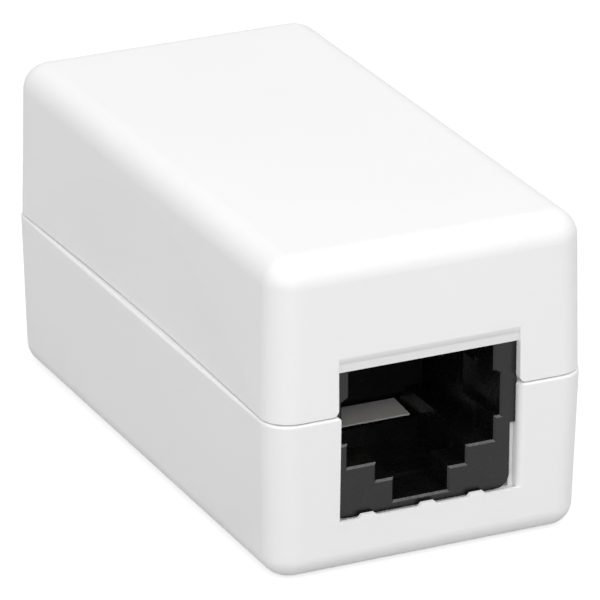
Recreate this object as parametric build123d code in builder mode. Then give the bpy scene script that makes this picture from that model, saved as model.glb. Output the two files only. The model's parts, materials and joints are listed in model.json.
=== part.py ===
from build123d import *
from math import atan, cos, radians, sin, tan
import os

# In-line network coupler: two eight-contact modular jacks back to back on one small circuit board,
# inside a white case made of a base and a lift-off cover.
# Frame: millimetres, +Z up, origin at the centre of the case's underside, front socket facing -Y.
# The front and rear ends are the same design, turned half a turn about Z.

# Modelling allowances: tools run past the surface they cut, joined shapes sink into each other
OVERRUN = 1.0
SINK = 0.3

# Case
CASE_WIDTH = 26.0
CASE_LENGTH = 48.6
BASE_HEIGHT = 12.7
COVER_HEIGHT = 12.55
CASE_HEIGHT = BASE_HEIGHT + COVER_HEIGHT
PARTING_GAP = 0.12
BASE_RIM = BASE_HEIGHT - PARTING_GAP / 2
COVER_RIM = BASE_HEIGHT + PARTING_GAP / 2
CORNER_RADIUS = 2.2
TOP_EDGE_RADIUS = 2.1
BOTTOM_EDGE_RADIUS = 1.7
BASE_RIM_RADIUS = 0.2
BASE_DRAFT = 1.4
COVER_DRAFT = 0.95
COVER_STEP_IN = 0.08
SIDE_BOW = 0.4
BOW_HEIGHT = 9.5
BOW_RADIUS = (CASE_LENGTH / 2 - CORNER_RADIUS) ** 2 / (2 * SIDE_BOW)
WALL = 1.8
INNER_RADIUS = 0.6
FLOOR = 1.6
CEILING_THICKNESS = 1.8
CEILING = CASE_HEIGHT - CEILING_THICKNESS
TONGUE_INSET = 1.1
TONGUE_HEIGHT = 1.0
TONGUE_GAP = 0.1

# Window in each end wall, in the end's own frame: x to the viewer's right, y up
BASE_WINDOW_LEFT = -7.42
COVER_WINDOW_LEFT = -7.57
WINDOW_RIGHT = 7.25
WINDOW_SILL = 4.2
WINDOW_HEAD = 16.03
BASE_WINDOW_CORNER = 0.25
COVER_WINDOW_CORNER = 0.5
WINDOW_FLARE = 0.05
WINDOW_CUT_DEPTH = 1.15
WINDOW_EDGE_RADIUS = 0.5
LIP_REAR = 0.5
LIP_GROOVE_FLOOR = 3.6
SILL_RIB_CENTRES = (-5.09, -0.17, 3.87)
SILL_RIB_WIDTH = 1.58
SILL_RIB_HEIGHT = 0.28
SILL_RIB_ANGLE = 45
# Slanted recess above the window: hollow down to its middle, straight below that
STRIP_HEAD = 17.25
STRIP_MIDDLE = 16.7
STRIP_DEPTH_MIDDLE = 0.365
STRIP_DEPTH_FOOT = 0.465
STRIP_HOLLOW_RADIUS = 1.4

# Jack, in the end's frame; depths below a jack are measured back from its own front face
JACK_OFFSET = -0.5
FACE_SETBACK = 0.75
JACK_DEPTH = 18.0
JACK_HALF_WIDTH = 7.29
WING_HALF_WIDTH = 7.8
WING_FOOT = 9.4
WING_CORNER = 0.3
JACK_UNDERSIDE = 4.2
JACK_TOP = 17.4
JACK_CORNER = 1.1
POCKET_GAP = 0.1
POCKET_DEPTH = 3.0

# Socket steps, from the latch slot up to the roof
SLOT_HALF = 2.22
SLOT_FLOOR = 4.86
SLOT_DEPTH = 4.0
LATCH_HALF = 3.68
LATCH_LEDGE = 6.73
LATCH_DEPTH = 3.2
PLUG_HALF = 5.9
PLUG_FOOT_HALF = 6.0
PLUG_LEDGE = 8.2
NOTCH_HALF = 6.5
NOTCH_FOOT = 10.1
NOTCH_HEAD = 13.4
NOTCH_TIP = 13.78
NOTCH_DEPTH = 5.0
SOCKET_ROOF = 16.4
MOUTH_BEVEL = 0.16
WELL_HALF = 4.5
WELL_SHELF = 6.13
WELL_FLOOR = 5.02
STOP_WALL_FRONT = 9.45
STOP_WALL_REAR = 10.0
STOP_WALL_TOP = 6.65
UNDERSIDE_OPEN_FROM = 13.8
GROOVE_WIDTH = 0.62
GROOVE_TOP = 16.95
GROOVE_START = 2.2

# Board and what stands on it
BOARD_TOP = 4.05
BOARD_THICKNESS = 1.6
BOARD_UNDERSIDE = BOARD_TOP - BOARD_THICKNESS
BOARD_HALF_WIDTH = 9.4
BOARD_HALF_LENGTH = 21.9
BOARD_CORNER = 1.0
BOARD_WAIST_HALF = 5.95
BOARD_NOTCH_HALF = 5.3
RAIL_CENTRE = 8.9
RAIL_WIDTH = 0.7
RAIL_LENGTH = 42.8
FOOT_RADIUS = 1.8
BOARD_PEG_RADIUS = 1.55
BOARD_PEG_SPREAD = 5.7
BOARD_PEG_DEPTH = 6.5
BOARD_PEG_END = 2.7
BOARD_PEG_GAP = 0.07
COPPER = 0.07
TRACE_WIDTH = 0.2
VIA_RADIUS = 0.2
PAD_RADIUS = 0.62
PLATING_RADIUS = 0.45
PIN_HOLE_RADIUS = 0.38
SOLDER_BASE_RADIUS = 0.48
SOLDER_TIP_RADIUS = 0.32
LEAD_PROUD = 0.1
TRACE_SHIFT = -0.5
JOG_LEVEL = 5.0

# Boss on the base that reaches up through the board and the jack's floor, behind the stop wall
BOSS_HALF_FRONT = 4.05
BOSS_HALF_REAR = 4.3
BOSS_FRONT = 10.1
BOSS_REAR = 13.3
BOSS_TOP = 6.7
BOSS_GAP = 0.1

# Contacts
CONTACTS = 8
PITCH = 1.016
WIRE_WIDTH = 0.46
WIRE_THICKNESS = 0.3
ROOT_DEPTH = 2.8
ROOT_HEIGHT = 16.15
ROOT_RADIUS = 0.35
LEAD_FOOT = 16.55
LEAD_START = 2.45
LEAD_END = 1.85
ROW_DEPTHS = (14.6, 17.14)
BEAM_LENGTH = 7.9
BEAM_SLOPE = 19.0
LEAD_CLEARANCE = 0.05
LEAD_BEND = 0.27

# Contact carrier
CARRIER_FRONT = 11.6
CARRIER_REAR = 17.8
CARRIER_GAP = 0.05
CARRIER_FOOT = 7.9
CARRIER_SIDE_FOOT = 8.3
CARRIER_LEG_FOOT = 4.25
CARRIER_LEG_FRONT = 13.95
COMB_FRONT = 9.5
COMB_FOOT = 12.6
COMB_TOOTH = 0.34

# Cover location: pegs on the cover in sleeves on the base
POST_RADIUS = 2.2
POST_X = 8.4
POST_Y = 2.9
POST_JOINT = 13.0
POST_GAP = 0.02
PEG_RADIUS = 1.15
PEG_GAP = 0.05
PEG_LENGTH = 6.0
PEG_ROOM = 0.5
PEG_TIP_ROUND = 0.3
HOLD_RIB_THICKNESS = 1.2
HOLD_RIB_DEPTHS = (7.0, 14.0)
HOLD_RIB_HALF = 6.0
HOLD_RIB_GAP = 0.05

ENDS = {"front": -1, "rear": 1}


def end_plane(end, depth=0.0):
    """Plane parallel to an end face and depth inside it: x to a viewer's right, y up, z outwards."""
    return Plane(
        origin=(0, end * (CASE_LENGTH / 2 - depth), 0),
        x_dir=(-end, 0, 0),
        z_dir=(0, end, 0),
    )


def side_plane(end, across):
    """Plane cutting lengthwise through a jack: x is the depth behind its face, y up."""
    return Plane(
        origin=(-end * across, end * (CASE_LENGTH / 2 - FACE_SETBACK), 0),
        x_dir=(0, -end, 0),
        z_dir=(-end, 0, 0),
    )


def jack_plane(end, depth=0.0):
    """End plane at a depth behind the jack's face, with x = 0 on the jack's centre line."""
    return Plane(
        origin=(-end * JACK_OFFSET, end * (CASE_LENGTH / 2 - FACE_SETBACK - depth), 0),
        x_dir=(-end, 0, 0),
        z_dir=(0, end, 0),
    )


def jack_plan(end, height):
    """Level plane at a height: x = 0 on the jack's centre line, y is the depth behind its face."""
    return Plane(
        origin=(-end * JACK_OFFSET, end * (CASE_LENGTH / 2 - FACE_SETBACK), height),
        x_dir=(-end, 0, 0),
        z_dir=(0, 0, 1),
    )


def contact_x(index):
    """Distance of a contact from its jack's centre line, for index 1 to CONTACTS."""
    return (index - (CONTACTS + 1) / 2) * PITCH


def row_depth(index):
    """The leads go down to the board in two staggered rows."""
    return ROW_DEPTHS[(index + 1) % 2]


def pin_place(end, index):
    """Where a lead meets the board, in plan."""
    across = JACK_OFFSET + contact_x(index)
    return (-end * across, end * (CASE_LENGTH / 2 - FACE_SETBACK - row_depth(index)))


def case_outline(height, inset, radius=CORNER_RADIUS):
    """Plan outline of the case at a height, moved in by inset."""
    with BuildSketch(Plane.XY.offset(height)) as outline:
        RectangleRounded(CASE_WIDTH - 2 * inset, CASE_LENGTH - 2 * inset, radius)
    return outline.sketch


def bow_plane(side):
    """Plane of the wide, slightly tilted cylinder that hollows a long side of the cover at its rim."""
    tilt = atan(SIDE_BOW / BOW_HEIGHT - tan(radians(COVER_DRAFT)))
    deepest = CASE_WIDTH / 2 - COVER_STEP_IN - SIDE_BOW
    return Plane(
        origin=(
            side * (deepest + BOW_RADIUS * cos(tilt)),
            0,
            COVER_RIM - BOW_RADIUS * sin(tilt),
        ),
        x_dir=(0, 1, 0),
        z_dir=(side * sin(tilt), 0, cos(tilt)),
    )


def window_cut(end, left, sill_or_head, rim, corner_radius):
    """Half of a window, from its sill or head to past the rim, with a flare at the rim."""
    width = WINDOW_RIGHT - left
    middle = (left + WINDOW_RIGHT) / 2
    past_rim = rim + OVERRUN if rim > sill_or_head else rim - OVERRUN
    with BuildSketch(end_plane(end, -OVERRUN)) as window:
        with Locations((middle, (sill_or_head + rim) / 2)):
            Rectangle(width, abs(rim - sill_or_head))
        with Locations((middle, (rim + past_rim) / 2)):
            Rectangle(width + 2 * (corner_radius + WINDOW_FLARE), abs(past_rim - rim))
        rim_ends = [(left, rim), (WINDOW_RIGHT, rim)]
        fillet([window.vertices().sort_by_distance(place)[0] for place in rim_ends], corner_radius)
    return window.sketch


def pocket_rectangle(end, half_width, bottom, top):
    """The seat for the jack's front end, cut from inside the end wall and leaving a lip."""
    with BuildSketch(end_plane(end, FACE_SETBACK)) as pocket:
        with Locations((JACK_OFFSET, (bottom + top) / 2)):
            Rectangle(2 * (half_width + POCKET_GAP), top - bottom)
    return pocket.sketch


def window_edge_corner(end, inset, height, lean):
    """What rounding takes off the window's right edge, drawn square to an end face that leans."""
    square_to_face = Plane(
        origin=(0, end * (CASE_LENGTH / 2 - inset), height),
        x_dir=(-end, 0, 0),
        z_dir=(0, end * sin(radians(lean)), cos(radians(lean))),
    )
    with BuildSketch(square_to_face) as corner:
        with Locations((WINDOW_RIGHT + WINDOW_EDGE_RADIUS, WINDOW_EDGE_RADIUS)):
            side = WINDOW_EDGE_RADIUS + SINK
            Rectangle(side, side, align=(Align.MAX, Align.MAX))
            Circle(WINDOW_EDGE_RADIUS, mode=Mode.SUBTRACT)
    return corner.sketch


def make_base_shell():
    with BuildPart() as base_shell:
        underside_inset = BASE_HEIGHT * tan(radians(BASE_DRAFT))
        loft([case_outline(0, underside_inset), case_outline(BASE_RIM, 0)], ruled=True)
        fillet(base_shell.faces().sort_by(Axis.Z)[0].edges(), BOTTOM_EDGE_RADIUS)
        fillet(base_shell.faces().sort_by(Axis.Z)[-1].edges(), BASE_RIM_RADIUS)
        tongue = case_outline(BASE_RIM, TONGUE_INSET, radius=CORNER_RADIUS - TONGUE_INSET)
        extrude(tongue, amount=TONGUE_HEIGHT)
        floor_outline = case_outline(FLOOR, WALL + underside_inset, radius=INNER_RADIUS)
        open_outline = case_outline(BASE_RIM + 2 * OVERRUN, WALL, radius=INNER_RADIUS)
        loft([floor_outline, open_outline], ruled=True, mode=Mode.SUBTRACT)
        for end in ENDS.values():
            window = window_cut(end, BASE_WINDOW_LEFT, WINDOW_SILL, BASE_RIM, BASE_WINDOW_CORNER)
            extrude(window, amount=-OVERRUN - WINDOW_CUT_DEPTH, mode=Mode.SUBTRACT)
            face_depth = (BASE_RIM - WINDOW_SILL) * tan(radians(BASE_DRAFT))
            corner = window_edge_corner(end, face_depth, WINDOW_SILL, BASE_DRAFT)
            extrude(corner, amount=BASE_RIM - WINDOW_SILL + OVERRUN, mode=Mode.SUBTRACT)
            wing_level = WING_FOOT - POCKET_GAP
            low_pocket = pocket_rectangle(
                end, JACK_HALF_WIDTH, JACK_UNDERSIDE - POCKET_GAP, wing_level
            )
            extrude(low_pocket, amount=-POCKET_DEPTH, mode=Mode.SUBTRACT)
            high_pocket = pocket_rectangle(
                end, WING_HALF_WIDTH, wing_level, BASE_RIM + 2 * OVERRUN
            )
            extrude(high_pocket, amount=-POCKET_DEPTH, mode=Mode.SUBTRACT)
            # groove that leaves the sill as a thin lip in front of the jack
            with BuildSketch(end_plane(end, FACE_SETBACK + SINK)):
                with Locations(((BASE_WINDOW_LEFT + WINDOW_RIGHT) / 2, LIP_GROOVE_FLOOR)):
                    Rectangle(
                        WINDOW_RIGHT - BASE_WINDOW_LEFT,
                        WINDOW_SILL - LIP_GROOVE_FLOOR + SINK,
                        align=(Align.CENTER, Align.MIN),
                    )
            extrude(amount=FACE_SETBACK + SINK - LIP_REAR, mode=Mode.SUBTRACT)
            with BuildSketch(end_plane(end, face_depth)):
                with Locations(*[(x, WINDOW_SILL - SINK) for x in SILL_RIB_CENTRES]):
                    Trapezoid(
                        SILL_RIB_WIDTH + 2 * SINK,
                        SILL_RIB_HEIGHT + SINK,
                        SILL_RIB_ANGLE,
                        align=(Align.CENTER, Align.MIN),
                    )
            extrude(amount=face_depth - LIP_REAR)
            with BuildSketch(jack_plan(end, FLOOR / 2)):
                Polygon(
                    (-BOSS_HALF_FRONT, BOSS_FRONT),
                    (BOSS_HALF_FRONT, BOSS_FRONT),
                    (BOSS_HALF_REAR, BOSS_REAR),
                    (-BOSS_HALF_REAR, BOSS_REAR),
                    align=None,
                )
            extrude(amount=BOSS_TOP - FLOOR / 2)
        with BuildSketch(Plane.XY.offset(FLOOR / 2)):
            with Locations((-RAIL_CENTRE, 0), (RAIL_CENTRE, 0)):
                Rectangle(RAIL_WIDTH, RAIL_LENGTH)
        extrude(amount=BOARD_UNDERSIDE - FLOOR / 2)
        with BuildSketch(Plane.XY.offset(FLOOR / 2)):
            with GridLocations(2 * POST_X, 2 * POST_Y, 2, 2):
                Circle(POST_RADIUS)
        extrude(amount=POST_JOINT - FLOOR / 2)
        with BuildSketch(Plane.XY.offset(POST_JOINT)):
            with GridLocations(2 * POST_X, 2 * POST_Y, 2, 2):
                Circle(PEG_RADIUS + PEG_GAP)
        extrude(amount=-PEG_LENGTH - PEG_ROOM, mode=Mode.SUBTRACT)
    base_shell.part.label = "base_shell"
    return base_shell.part


def make_cover_shell():
    with BuildPart() as cover_shell:
        top_inset = COVER_STEP_IN + COVER_HEIGHT * tan(radians(COVER_DRAFT))
        rim_outline = case_outline(COVER_RIM, COVER_STEP_IN)
        loft([rim_outline, case_outline(CASE_HEIGHT, top_inset)], ruled=True)
        fillet(cover_shell.faces().sort_by(Axis.Z)[-1].edges(), TOP_EDGE_RADIUS)
        for side in (-1, 1):
            with BuildSketch(bow_plane(side)):
                Circle(BOW_RADIUS)
            extrude(amount=COVER_HEIGHT, both=True, mode=Mode.SUBTRACT)
        inner_rim = case_outline(COVER_RIM - OVERRUN, COVER_STEP_IN + WALL, radius=INNER_RADIUS)
        inner_top = case_outline(CEILING, top_inset + WALL, radius=INNER_RADIUS)
        loft([inner_rim, inner_top], ruled=True, mode=Mode.SUBTRACT)
        rebate_inset = TONGUE_INSET - TONGUE_GAP
        rebate = case_outline(COVER_RIM, rebate_inset, radius=CORNER_RADIUS - rebate_inset)
        extrude(rebate, amount=TONGUE_HEIGHT + TONGUE_GAP, mode=Mode.SUBTRACT)
        for end in ENDS.values():
            window = window_cut(
                end, COVER_WINDOW_LEFT, WINDOW_HEAD, COVER_RIM, COVER_WINDOW_CORNER
            )
            extrude(window, amount=-OVERRUN - WINDOW_CUT_DEPTH, mode=Mode.SUBTRACT)
            corner = window_edge_corner(end, COVER_STEP_IN, BASE_HEIGHT, -COVER_DRAFT)
            extrude(corner, amount=STRIP_HEAD - BASE_HEIGHT, mode=Mode.SUBTRACT)
            pocket = pocket_rectangle(
                end, WING_HALF_WIDTH, COVER_RIM - OVERRUN, JACK_TOP + POCKET_GAP
            )
            extrude(pocket, amount=-POCKET_DEPTH, mode=Mode.SUBTRACT)
            strip_plane = Plane(
                origin=(-end * COVER_WINDOW_LEFT, end * CASE_LENGTH / 2, 0),
                x_dir=(0, -end, 0),
                z_dir=(-end, 0, 0),
            )
            strip_head_depth = COVER_STEP_IN + (STRIP_HEAD - BASE_HEIGHT) * tan(radians(COVER_DRAFT))
            with BuildSketch(strip_plane):
                with BuildLine():
                    hollow_foot = (STRIP_DEPTH_MIDDLE, STRIP_MIDDLE)
                    hollow_head = (strip_head_depth, STRIP_HEAD)
                    RadiusArc(hollow_foot, hollow_head, STRIP_HOLLOW_RADIUS)
                    Polyline(
                        hollow_head,
                        (-OVERRUN, STRIP_HEAD),
                        (-OVERRUN, WINDOW_HEAD - SINK),
                        (STRIP_DEPTH_FOOT, WINDOW_HEAD - SINK),
                        (STRIP_DEPTH_FOOT, WINDOW_HEAD),
                        hollow_foot,
                    )
                make_face()
            extrude(amount=WINDOW_RIGHT - COVER_WINDOW_LEFT, mode=Mode.SUBTRACT)
            for depth in HOLD_RIB_DEPTHS:
                with BuildSketch(jack_plane(end, depth)):
                    with Locations((0, JACK_TOP + HOLD_RIB_GAP)):
                        Rectangle(
                            2 * HOLD_RIB_HALF,
                            CEILING - JACK_TOP + SINK,
                            align=(Align.CENTER, Align.MIN),
                        )
                extrude(amount=-HOLD_RIB_THICKNESS)
        with BuildSketch(Plane.XY.offset(POST_JOINT + POST_GAP)):
            with GridLocations(2 * POST_X, 2 * POST_Y, 2, 2):
                Circle(POST_RADIUS)
        extrude(amount=CEILING - POST_JOINT + SINK)
        with BuildSketch(Plane.XY.offset(POST_JOINT + POST_GAP)):
            with GridLocations(2 * POST_X, 2 * POST_Y, 2, 2):
                Circle(PEG_RADIUS)
        extrude(amount=-PEG_LENGTH)
        fillet(cover_shell.faces().sort_by(Axis.Z)[0:4].edges(), PEG_TIP_ROUND)
    cover_shell.part.label = "cover_shell"
    return cover_shell.part


def socket_profile(end, depth=0.0):
    """The stepped mouth of the socket: latch slot, latch step, plug opening and side notches."""
    half_outline = (
        (SLOT_HALF, SLOT_FLOOR),
        (SLOT_HALF, LATCH_LEDGE),
        (LATCH_HALF, LATCH_LEDGE),
        (LATCH_HALF, PLUG_LEDGE),
        (PLUG_FOOT_HALF, PLUG_LEDGE),
        (PLUG_FOOT_HALF, NOTCH_FOOT),
        (NOTCH_HALF, NOTCH_FOOT),
        (NOTCH_HALF, NOTCH_HEAD),
        (PLUG_HALF, NOTCH_TIP),
        (PLUG_HALF, SOCKET_ROOF),
    )
    mirrored = [(-x, y) for x, y in reversed(half_outline)]
    with BuildSketch(jack_plane(end, depth)) as profile:
        Polygon(*half_outline, *mirrored, align=None)
    return profile.sketch


def jack_box(end, half_width, foot, top, front, rear):
    """A block on the jack's centre line, by its heights and its depths behind the jack's face."""
    with BuildPart() as block:
        with BuildSketch(jack_plane(end, front)):
            with Locations((0, foot)):
                Rectangle(2 * half_width, top - foot, align=(Align.CENTER, Align.MIN))
        extrude(amount=front - rear)
    return block.part


def make_jack_housing(name, end):
    with BuildPart() as housing:
        add(jack_box(end, JACK_HALF_WIDTH, JACK_UNDERSIDE, JACK_TOP, 0, JACK_DEPTH))
        fillet(housing.edges().filter_by(Axis.Y).group_by(Axis.Z)[0], JACK_CORNER)
        add(jack_box(end, WING_HALF_WIDTH, WING_FOOT, JACK_TOP, 0, JACK_DEPTH))
        fillet(housing.edges().filter_by(Axis.Y).group_by(Axis.Z)[-1], WING_CORNER)
        # plug tunnel, open at the back for the contact carrier
        behind = JACK_DEPTH + OVERRUN
        tunnel = jack_box(end, PLUG_HALF, PLUG_LEDGE, SOCKET_ROOF, -OVERRUN, behind)
        add(tunnel, mode=Mode.SUBTRACT)
        # the stepped mouth reaches back as far as the latch catch, and the side notches further
        extrude(socket_profile(end), amount=-LATCH_DEPTH, mode=Mode.SUBTRACT)
        notch = jack_box(end, NOTCH_HALF, NOTCH_FOOT, NOTCH_HEAD, 0, NOTCH_DEPTH)
        add(notch, mode=Mode.SUBTRACT)
        above = PLUG_LEDGE + OVERRUN
        slot = jack_box(end, SLOT_HALF, SLOT_FLOOR, above, 0, SLOT_DEPTH)
        add(slot, mode=Mode.SUBTRACT)
        # behind the catch the latch well drops to a thin floor, with a stop wall across it
        shelf = jack_box(end, WELL_HALF, WELL_SHELF, above, LATCH_DEPTH, SLOT_DEPTH + SINK)
        add(shelf, mode=Mode.SUBTRACT)
        well = jack_box(end, WELL_HALF, WELL_FLOOR, above, SLOT_DEPTH, behind)
        add(well, mode=Mode.SUBTRACT)
        wall_half = WELL_HALF + SINK
        add(jack_box(end, wall_half, WELL_FLOOR - SINK, STOP_WALL_TOP, STOP_WALL_FRONT, STOP_WALL_REAR))
        # through the floor: a hole for the base's boss, then open underside for the carrier's leg
        boss_half = BOSS_HALF_REAR + BOSS_GAP
        boss_hole = jack_box(
            end, boss_half, 0, WELL_FLOOR + SINK, BOSS_FRONT - BOSS_GAP, BOSS_REAR + BOSS_GAP
        )
        add(boss_hole, mode=Mode.SUBTRACT)
        open_end = jack_box(end, WELL_HALF, 0, WELL_FLOOR + SINK, UNDERSIDE_OPEN_FROM, behind)
        add(open_end, mode=Mode.SUBTRACT)
        # small lead-in around the mouth
        face = housing.faces().sort_by(Axis.Y)[0 if end < 0 else -1]
        chamfer(face.inner_wires().edges(), MOUTH_BEVEL)
        # grooves under the roof, one for each contact wire
        with BuildSketch(jack_plane(end, GROOVE_START)):
            with Locations(*[(contact_x(i + 1), SOCKET_ROOF - SINK) for i in range(CONTACTS)]):
                Rectangle(
                    GROOVE_WIDTH, GROOVE_TOP - SOCKET_ROOF + SINK, align=(Align.CENTER, Align.MIN)
                )
        extrude(amount=GROOVE_START - behind, mode=Mode.SUBTRACT)
        # feet that keep the underside off the copper, and two pegs through the board
        with BuildSketch(Plane.XY.offset(BOARD_TOP)):
            y_peg = end * (CASE_LENGTH / 2 - FACE_SETBACK - BOARD_PEG_DEPTH)
            peg_places = [(-end * JACK_OFFSET + s * BOARD_PEG_SPREAD, y_peg) for s in (-1, 1)]
            with Locations(*peg_places):
                Circle(FOOT_RADIUS)
        extrude(amount=JACK_UNDERSIDE - BOARD_TOP + SINK)
        with BuildSketch(Plane.XY.offset(BOARD_PEG_END)):
            with Locations(*peg_places):
                Circle(BOARD_PEG_RADIUS)
        extrude(amount=BOARD_TOP - BOARD_PEG_END + SINK)
    housing.part.label = f"{name}_jack_housing"
    return housing.part


def make_contact_carrier(name, end):
    inner_half = PLUG_HALF - CARRIER_GAP
    top = SOCKET_ROOF - CARRIER_GAP
    with BuildPart() as carrier:
        add(jack_box(end, inner_half, CARRIER_SIDE_FOOT, top, CARRIER_FRONT, CARRIER_REAR))
        leg_half = WELL_HALF - CARRIER_GAP
        add(jack_box(end, leg_half, CARRIER_FOOT, top, CARRIER_FRONT, CARRIER_REAR))
        add(jack_box(end, leg_half, CARRIER_LEG_FOOT, top, CARRIER_LEG_FRONT, CARRIER_REAR))
        # comb that keeps the free ends of the contacts apart
        with BuildSketch(jack_plane(end, COMB_FRONT)):
            with Locations(*[(contact_x(i + 0.5), COMB_FOOT) for i in range(1, CONTACTS)]):
                Rectangle(COMB_TOOTH, top - COMB_FOOT, align=(Align.CENTER, Align.MIN))
        extrude(amount=COMB_FRONT - CARRIER_FRONT - SINK)
        # holes for the leads
        for index in range(1, CONTACTS + 1):
            with BuildSketch(Plane.XY.offset(top + OVERRUN)):
                with Locations(pin_place(end, index)):
                    Rectangle(WIRE_WIDTH + 2 * LEAD_CLEARANCE, WIRE_THICKNESS + 2 * LEAD_CLEARANCE)
            extrude(amount=-top, mode=Mode.SUBTRACT)
    carrier.part.label = f"{name}_contact_carrier"
    return carrier.part


def make_contact_leads(name, end):
    with BuildPart() as leads:
        for index in range(1, CONTACTS + 1):
            back = row_depth(index) + WIRE_THICKNESS / 2
            head = LEAD_FOOT + WIRE_THICKNESS
            with BuildSketch(side_plane(end, JACK_OFFSET + contact_x(index))) as wire:
                Polygon(
                    (LEAD_START, LEAD_FOOT),
                    (back - WIRE_THICKNESS, LEAD_FOOT),
                    (back - WIRE_THICKNESS, LEAD_END),
                    (back, LEAD_END),
                    (back, head),
                    (LEAD_START, head),
                    align=None,
                )
                outer_corner = wire.vertices().sort_by_distance(
                    side_plane(end, JACK_OFFSET + contact_x(index)).from_local_coords((back, head))
                )[0]
                fillet(outer_corner, LEAD_BEND)
            extrude(amount=WIRE_WIDTH / 2, both=True)
    leads.part.label = f"{name}_contact_leads"
    return leads.part


def make_spring_contact(name, end, index):
    with BuildPart() as contact:
        with BuildSketch(side_plane(end, JACK_OFFSET + contact_x(index))):
            with Locations((ROOT_DEPTH, ROOT_HEIGHT)):
                Circle(ROOT_RADIUS)
                Rectangle(
                    BEAM_LENGTH,
                    WIRE_THICKNESS,
                    rotation=-BEAM_SLOPE,
                    align=(Align.MIN, Align.CENTER),
                )
        extrude(amount=WIRE_WIDTH / 2, both=True)
    contact.part.label = f"{name}_contact_{index}"
    return contact.part


def make_circuit_board():
    pin_places = [pin_place(end, i + 1) for end in ENDS.values() for i in range(CONTACTS)]
    via_places = [place for i in range(CONTACTS) for place in net_vias(i + 1)]
    with BuildPart() as board:
        with BuildSketch(Plane.XY.offset(BOARD_UNDERSIDE)) as outline:
            RectangleRounded(2 * BOARD_HALF_WIDTH, 2 * BOARD_HALF_LENGTH, BOARD_CORNER)
            notch_width = BOARD_HALF_WIDTH - BOARD_WAIST_HALF + OVERRUN
            with Locations(*[(s * (BOARD_WAIST_HALF + notch_width / 2), 0) for s in (-1, 1)]):
                Rectangle(notch_width, 2 * BOARD_NOTCH_HALF, mode=Mode.SUBTRACT)
            for end in ENDS.values():
                face = CASE_LENGTH / 2 - FACE_SETBACK
                with Locations((-end * JACK_OFFSET, end * (face - (BOSS_FRONT + BOSS_REAR) / 2))):
                    Rectangle(
                        2 * (BOSS_HALF_REAR + BOSS_GAP),
                        BOSS_REAR - BOSS_FRONT + 2 * BOSS_GAP,
                        mode=Mode.SUBTRACT,
                    )
                peg_xs = [-end * JACK_OFFSET + s * BOARD_PEG_SPREAD for s in (-1, 1)]
                with Locations(*[(x, end * (face - BOARD_PEG_DEPTH)) for x in peg_xs]):
                    Circle(BOARD_PEG_RADIUS + BOARD_PEG_GAP, mode=Mode.SUBTRACT)
            with Locations(*pin_places):
                Circle(PLATING_RADIUS, mode=Mode.SUBTRACT)
            with Locations(*via_places):
                Circle(VIA_RADIUS, mode=Mode.SUBTRACT)
        extrude(amount=BOARD_THICKNESS)
    board.part.label = "circuit_board"
    return board.part


def net_columns(index):
    """X of a net's front run, its rear run, and its rear pin."""
    front_x = pin_place(-1, index)[0]
    rear_x = pin_place(1, index)[0]
    return front_x, rear_x + TRACE_SHIFT, rear_x


def net_vias(index):
    """A net changes side of the board at two vias on its own crossing line."""
    front_x, rear_run_x, rear_x = net_columns(index)
    crossing = contact_x(index)
    return (front_x, crossing), (rear_run_x, crossing)


def make_board_traces():
    """Eight nets, each joining the same contact of both jacks and crossing over on the underside."""
    with BuildPart() as traces:
        for index in range(1, CONTACTS + 1):
            front_x, rear_run_x, rear_x = net_columns(index)
            front_via, rear_via = net_vias(index)
            pins = [pin_place(end, index) for end in ENDS.values()]
            top_runs = (
                (pins[0], front_via),
                (rear_via, (rear_run_x, JOG_LEVEL)),
                ((rear_run_x, JOG_LEVEL), (rear_x, JOG_LEVEL)),
                ((rear_x, JOG_LEVEL), pins[1]),
            )
            for plane, runs in (
                (Plane.XY.offset(BOARD_TOP), top_runs),
                (Plane.XY.offset(BOARD_UNDERSIDE - COPPER), ((front_via, rear_via),)),
            ):
                with BuildSketch(plane):
                    for start, finish in runs:
                        middle = ((start[0] + finish[0]) / 2, (start[1] + finish[1]) / 2)
                        with Locations(middle):
                            Rectangle(
                                abs(start[0] - finish[0]) + TRACE_WIDTH,
                                abs(start[1] - finish[1]) + TRACE_WIDTH,
                            )
                    with Locations(*pins):
                        Circle(PAD_RADIUS)
                extrude(amount=COPPER)
            through = BOARD_THICKNESS + 2 * COPPER
            with BuildSketch(Plane.XY.offset(BOARD_UNDERSIDE - COPPER)):
                with Locations(front_via, rear_via):
                    Circle(VIA_RADIUS)
                with Locations(*pins):
                    Circle(PLATING_RADIUS)
            extrude(amount=through)
            with BuildSketch(Plane.XY.offset(BOARD_UNDERSIDE - COPPER)):
                with Locations(*pins):
                    Circle(PIN_HOLE_RADIUS)
            extrude(amount=through, mode=Mode.SUBTRACT)
    traces.part.label = "board_traces"
    return traces.part


def make_solder_joints(name, end):
    with BuildPart() as joints:
        pad_face = BOARD_UNDERSIDE - COPPER
        tip = LEAD_END + LEAD_PROUD
        for index in range(1, CONTACTS + 1):
            x, y = pin_place(end, index)
            with Locations((x, y, tip)):
                Cone(
                    SOLDER_TIP_RADIUS,
                    SOLDER_BASE_RADIUS,
                    pad_face - tip,
                    align=(Align.CENTER, Align.CENTER, Align.MIN),
                )
            with BuildSketch(Plane.XY.offset(pad_face)):
                with Locations((x, y)):
                    Rectangle(WIRE_WIDTH, WIRE_THICKNESS)
            extrude(amount=tip - pad_face, mode=Mode.SUBTRACT)
    joints.part.label = f"{name}_solder_joints"
    return joints.part


os.makedirs("parts", exist_ok=True)

pieces = [make_base_shell(), make_cover_shell(), make_circuit_board(), make_board_traces()]
for name, end in ENDS.items():
    pieces.append(make_jack_housing(name, end))
    pieces.append(make_contact_carrier(name, end))
    pieces.append(make_contact_leads(name, end))
    pieces.append(make_solder_joints(name, end))
    for index in range(1, CONTACTS + 1):
        pieces.append(make_spring_contact(name, end, index))

for piece in pieces:
    export_step(piece, f"parts/{piece.label}.step")
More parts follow.
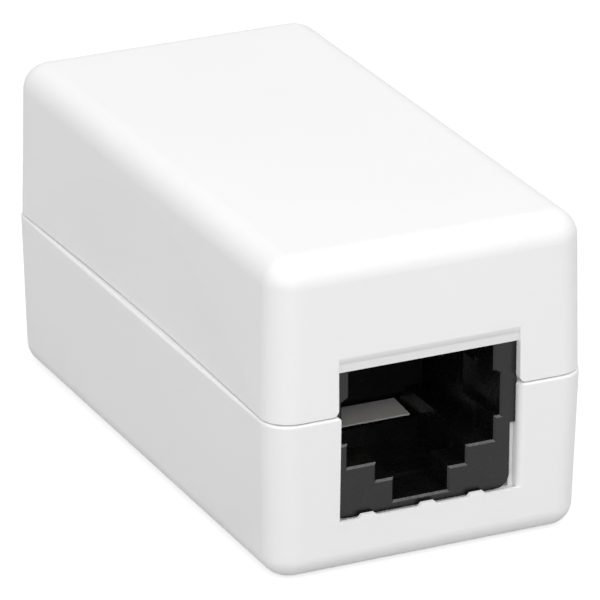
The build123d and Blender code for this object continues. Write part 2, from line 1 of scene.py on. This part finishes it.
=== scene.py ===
import json
import math

import bpy
from mathutils import Matrix, Vector

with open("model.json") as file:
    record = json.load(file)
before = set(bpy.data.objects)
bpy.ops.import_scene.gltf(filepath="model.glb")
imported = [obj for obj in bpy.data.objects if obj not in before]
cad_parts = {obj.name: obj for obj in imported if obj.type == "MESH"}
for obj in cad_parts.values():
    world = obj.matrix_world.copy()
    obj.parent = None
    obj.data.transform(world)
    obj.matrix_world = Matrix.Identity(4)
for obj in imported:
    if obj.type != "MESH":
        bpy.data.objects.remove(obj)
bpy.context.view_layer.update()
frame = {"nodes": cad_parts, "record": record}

# A small white in-line network coupler on a pale floor. Every length is in metres, in the CAD frame:
# origin at the centre of the underside, +Z up, front socket facing -Y.

MM = 0.001

# Camera: seen from the left of the front and from above, through a long lens. Angles are in
# degrees, lens and sensor in millimetres.
CAMERA_AZIMUTH = -25.38
CAMERA_ELEVATION = 22.52
CAMERA_DISTANCE = 453.4 * MM
CAMERA_TARGET = Vector((0.736, 0.0, 11.414)) * MM
CAMERA_ROLL = 0.14
CAMERA_LENS = 353.83
SENSOR_WIDTH = 36.0
CAMERA_NEAR = 0.01
CAMERA_FAR = 10.0

# Light: an even dome, one large soft light from the front left, a small one from the right that
# picks out the socket's edges, and a pale floor. Powers are in watts.
WORLD_STRENGTH = 0.63
KEY_AZIMUTH = -30
KEY_ELEVATION = 45
KEY_SIZE = 0.8
KEY_POWER = 2.75
EDGE_AZIMUTH = 46
EDGE_ELEVATION = 56
EDGE_SIZE = 0.14
EDGE_POWER = 0.45
LIGHT_DISTANCE = 0.6
LIGHT_TARGET = Vector((0, 0, 12 * MM))
FLOOR_GLOW = 0.7
FLOOR_SIZE = 4.0
# The floor lies this far below the case, so that the two never share a plane
FLOOR_GAP = 0.02 * MM

# Nearly all of a noise's values lie between these two
NOISE_LOW = 0.3
NOISE_HIGH = 0.7

# Black plastic: its tone varies by this share, and it's scuffed where a noise passes this level
TONE_SPREAD = 0.3
SCUFF_LEVEL = 0.7
SCUFF_GAIN = 3.5


# ---------------------------------------------------------------- materials


def grey(tone):
    return (tone, tone, tone)


class Shader:
    """A new node material, with short calls for the few kinds of node used here."""

    def __init__(self, name):
        self.material = bpy.data.materials.new(name)
        self.material.use_nodes = True
        self.tree = self.material.node_tree
        self.surface = self.tree.nodes["Principled BSDF"]
        self.place = self.tree.nodes.new("ShaderNodeTexCoord").outputs["Object"]

    def link(self, source, target):
        self.tree.links.new(source, target)

    def value(self, **inputs):
        """Sets inputs of the surface by name, with underscores for spaces."""
        for name, setting in inputs.items():
            self.surface.inputs[name.replace("_", " ")].default_value = setting

    def noise(self, size, detail=2.0, stretch=(1, 1, 1)):
        """Noise whose features are about size across, in metres, divided by stretch on each axis."""
        scaled = self.tree.nodes.new("ShaderNodeVectorMath")
        scaled.operation = "MULTIPLY"
        self.link(self.place, scaled.inputs[0])
        scaled.inputs[1].default_value = [s / size for s in stretch]
        texture = self.tree.nodes.new("ShaderNodeTexNoise")
        texture.inputs["Scale"].default_value = 1.0
        texture.inputs["Detail"].default_value = detail
        self.link(scaled.outputs[0], texture.inputs["Vector"])
        return texture.outputs["Fac"]

    def weave(self, direction, size, distortion):
        """Bands across one axis, about three in each length of size metres."""
        texture = self.tree.nodes.new("ShaderNodeTexWave")
        texture.bands_direction = direction
        texture.inputs["Scale"].default_value = 1 / size
        texture.inputs["Distortion"].default_value = distortion
        self.link(self.place, texture.inputs["Vector"])
        return texture.outputs["Fac"]

    def between(self, noise, low, high):
        """A number that runs from low to high over a noise's usual values."""
        ramp = self.tree.nodes.new("ShaderNodeMapRange")
        ramp.inputs["From Min"].default_value = NOISE_LOW
        ramp.inputs["From Max"].default_value = NOISE_HIGH
        ramp.inputs["To Min"].default_value = low
        ramp.inputs["To Max"].default_value = high
        self.link(noise, ramp.inputs["Value"])
        return ramp.outputs["Result"]

    def blend(self, factor, low, high):
        """A colour that runs from low to high as factor goes from 0 to 1. High is a colour, low is
        a colour or another node's output."""
        mix = self.tree.nodes.new("ShaderNodeMix")
        mix.data_type = "RGBA"
        self.link(factor, mix.inputs["Factor"])
        colours = {i.name: i for i in mix.inputs if i.type == "RGBA"}
        colours["B"].default_value = (*high, 1)
        if isinstance(low, tuple):
            colours["A"].default_value = (*low, 1)
        else:
            self.link(low, colours["A"])
        return [o for o in mix.outputs if o.type == "RGBA"][0]

    def number(self, operation, first, second):
        """Arithmetic on an output, with a second operand that is a number or another output."""
        node = self.tree.nodes.new("ShaderNodeMath")
        node.operation = operation
        self.link(first, node.inputs[0])
        if isinstance(second, float):
            node.inputs[1].default_value = second
        else:
            self.link(second, node.inputs[1])
        return node.outputs[0]

    def patches(self, size, low, high, detail=2.0):
        """A colour that varies from low to high by a noise."""
        return self.blend(self.between(self.noise(size, detail), 0.0, 1.0), low, high)

    def colour(self, source):
        self.link(source, self.surface.inputs["Base Color"])

    def roughness(self, size, low, high, detail=2.0, stretch=(1, 1, 1)):
        """Roughens the surface from low to high by a noise."""
        source = self.between(self.noise(size, detail, stretch), low, high)
        self.link(source, self.surface.inputs["Roughness"])

    def bump(self, height, depth, strength):
        """Adds relief of about depth metres; calls add up."""
        bump = self.tree.nodes.new("ShaderNodeBump")
        bump.inputs["Distance"].default_value = depth
        bump.inputs["Strength"].default_value = strength
        self.link(height, bump.inputs["Height"])
        normal = self.surface.inputs["Normal"]
        if normal.is_linked:
            self.link(normal.links[0].from_socket, bump.inputs["Normal"])
        self.link(bump.outputs["Normal"], normal)


def white_plastic():
    """Fine satin ABS: almost even white, with the faint grain of a spark-eroded mould."""
    shader = Shader("white_plastic")
    shader.value(IOR=1.5, Specular_IOR_Level=0.35)
    shader.value(Subsurface_Weight=0.12, Subsurface_Scale=0.6 * MM, Subsurface_Radius=grey(1.0))
    shader.colour(shader.patches(size=14 * MM, low=grey(0.876), high=grey(0.890)))
    shader.roughness(size=1.1 * MM, low=0.50, high=0.60)
    shader.bump(shader.noise(0.16 * MM, detail=3.0), depth=0.004 * MM, strength=0.35)
    shader.bump(shader.noise(7 * MM, detail=0.0), depth=0.03 * MM, strength=0.25)
    return shader.material


def black_plastic(name, tone, shine, smoothest, roughest):
    """Glass-filled polyester: near black with a low, uneven shine and a few pale scuffs."""
    shader = Shader(name)
    shader.value(IOR=1.5, Specular_IOR_Level=shine)
    darkest = grey((1 - TONE_SPREAD) * tone)
    palest = grey((1 + TONE_SPREAD) * tone)
    even = shader.patches(size=1.8 * MM, low=darkest, high=palest, detail=4.0)
    scuff = shader.number("GREATER_THAN", shader.noise(0.5 * MM, detail=4.0), SCUFF_LEVEL)
    shader.colour(shader.blend(scuff, low=even, high=grey(SCUFF_GAIN * tone)))
    shader.roughness(size=0.6 * MM, low=smoothest, high=roughest, detail=3.0)
    shader.bump(shader.noise(0.09 * MM, detail=3.0), depth=0.002 * MM, strength=0.2)
    shader.bump(shader.noise(1.6 * MM), depth=0.01 * MM, strength=0.5)
    return shader.material


def gold_plate():
    """Gold flash over spring wire, with fine drawing lines along the wire."""
    shader = Shader("gold_plate")
    shader.value(Metallic=1.0)
    shader.colour(shader.patches(size=0.8 * MM, low=(0.80, 0.56, 0.22), high=(0.93, 0.72, 0.36)))
    shader.roughness(size=0.12 * MM, low=0.16, high=0.34, stretch=(1, 0.06, 0.06))
    drawn = shader.noise(0.05 * MM, stretch=(1, 0.05, 0.05))
    shader.bump(drawn, depth=0.002 * MM, strength=0.5)
    return shader.material


def board_mask():
    """Green solder mask over woven glass: the weave shows through as a faint relief."""
    shader = Shader("board_mask")
    shader.value(IOR=1.5)
    dark, light = (0.012, 0.105, 0.045), (0.020, 0.150, 0.065)
    shader.colour(shader.patches(size=3 * MM, low=dark, high=light, detail=3.0))
    shader.roughness(size=0.5 * MM, low=0.22, high=0.36)
    for direction in ("X", "Y"):
        threads = shader.weave(direction, size=2.4 * MM, distortion=0.6)
        shader.bump(threads, depth=0.012 * MM, strength=0.4)
    return shader.material


def masked_copper():
    """Copper runs under the mask: a lighter, slightly metallic green."""
    shader = Shader("masked_copper")
    shader.value(Metallic=0.35)
    shader.colour(shader.patches(size=1.2 * MM, low=(0.10, 0.27, 0.10), high=(0.16, 0.35, 0.13)))
    shader.roughness(size=0.4 * MM, low=0.25, high=0.4)
    shader.bump(shader.noise(0.2 * MM), depth=0.005 * MM, strength=0.4)
    return shader.material


def solder_metal():
    """Tin solder: bright, with a slightly wavy frozen surface."""
    shader = Shader("solder_metal")
    shader.value(Metallic=1.0)
    shader.colour(shader.patches(size=0.3 * MM, low=(0.62, 0.62, 0.63), high=(0.80, 0.80, 0.80)))
    shader.roughness(size=0.2 * MM, low=0.18, high=0.38)
    shader.bump(shader.noise(0.25 * MM), depth=0.02 * MM, strength=0.4)
    return shader.material


def pale_floor():
    """Plain pale table top. Seen or mirrored it is bright, so that it meets the background evenly."""
    shader = Shader("pale_floor")
    shader.value(IOR=1.45, Specular_IOR_Level=0.2, Emission_Color=(1, 1, 1, 1))
    shader.colour(shader.patches(size=60 * MM, low=grey(0.43), high=grey(0.45)))
    shader.roughness(size=8 * MM, low=0.65, high=0.8)
    rays = shader.tree.nodes.new("ShaderNodeLightPath").outputs
    seen = shader.number("MAXIMUM", rays["Is Camera Ray"], rays["Is Glossy Ray"])
    glow = shader.number("MULTIPLY", seen, FLOOR_GLOW)
    shader.link(glow, shader.surface.inputs["Emission Strength"])
    return shader.material


def paint_cad_nodes():
    """Gives each CAD node the material of its slot in the record."""
    made = {
        "white_case": white_plastic(),
        "black_housing": black_plastic(
            "black_housing", tone=0.005, shine=0.40, smoothest=0.24, roughest=0.32
        ),
        "black_carrier": black_plastic(
            "black_carrier", tone=0.004, shine=0.12, smoothest=0.62, roughest=0.78
        ),
        "gold_contacts": gold_plate(),
        "green_board": board_mask(),
        "copper_traces": masked_copper(),
        "solder": solder_metal(),
    }
    for part in frame["record"]["subparts"]:
        mesh = frame["nodes"][part["node"]].data
        mesh.materials.clear()
        mesh.materials.append(made[part["material_slot"]])


# ---------------------------------------------------------------- stage


def make_floor():
    bpy.ops.mesh.primitive_plane_add(size=FLOOR_SIZE, location=(0, 0, -FLOOR_GAP))
    floor = bpy.context.object
    floor.name = "floor"
    floor.data.materials.append(pale_floor())


def make_world():
    """An even dome that lights at WORLD_STRENGTH, but is seen as plain white past the floor."""
    world = bpy.data.worlds.new("studio")
    bpy.context.scene.world = world
    world.use_nodes = True
    tree = world.node_tree
    background = tree.nodes["Background"]
    background.inputs["Color"].default_value = (1, 1, 1, 1)
    rays = tree.nodes.new("ShaderNodeLightPath")
    strength = tree.nodes.new("ShaderNodeMapRange")
    strength.inputs["To Min"].default_value = WORLD_STRENGTH
    strength.inputs["To Max"].default_value = 1.0
    tree.links.new(rays.outputs["Is Camera Ray"], strength.inputs["Value"])
    tree.links.new(strength.outputs["Result"], background.inputs["Strength"])


def place_round(name, data, target, azimuth, elevation, distance, roll=0.0):
    """A new light or camera that looks at target from distance away. Azimuth 0 is in front of the
    object and positive ones are towards +X. Roll turns it about its own line of sight."""
    a, e = math.radians(azimuth), math.radians(elevation)
    back = Vector((math.sin(a) * math.cos(e), -math.cos(a) * math.cos(e), math.sin(e)))
    placed = bpy.data.objects.new(name, data)
    placed.location = target + back * distance
    placed.rotation_mode = "QUATERNION"
    upright = back.to_track_quat("Z", "Y")
    placed.rotation_quaternion = upright @ Matrix.Rotation(math.radians(roll), 3, "Z").to_quaternion()
    bpy.context.scene.collection.objects.link(placed)
    return placed


def area_light(name, azimuth, elevation, size, power):
    """A square soft light aimed at the object."""
    data = bpy.data.lights.new(name, "AREA")
    data.size = size
    data.energy = power
    place_round(name, data, LIGHT_TARGET, azimuth, elevation, LIGHT_DISTANCE)


def make_lights():
    area_light("key_light", KEY_AZIMUTH, KEY_ELEVATION, KEY_SIZE, KEY_POWER)
    area_light("edge_light", EDGE_AZIMUTH, EDGE_ELEVATION, EDGE_SIZE, EDGE_POWER)


def make_camera():
    data = bpy.data.cameras.new("camera")
    data.lens = CAMERA_LENS
    data.sensor_width = SENSOR_WIDTH
    data.clip_start = CAMERA_NEAR
    data.clip_end = CAMERA_FAR
    bpy.context.scene.camera = place_round(
        "camera", data, CAMERA_TARGET, CAMERA_AZIMUTH, CAMERA_ELEVATION, CAMERA_DISTANCE, CAMERA_ROLL
    )


paint_cad_nodes()
make_floor()
make_world()
make_lights()
make_camera()
bpy.context.scene.view_settings.view_transform = "Standard"
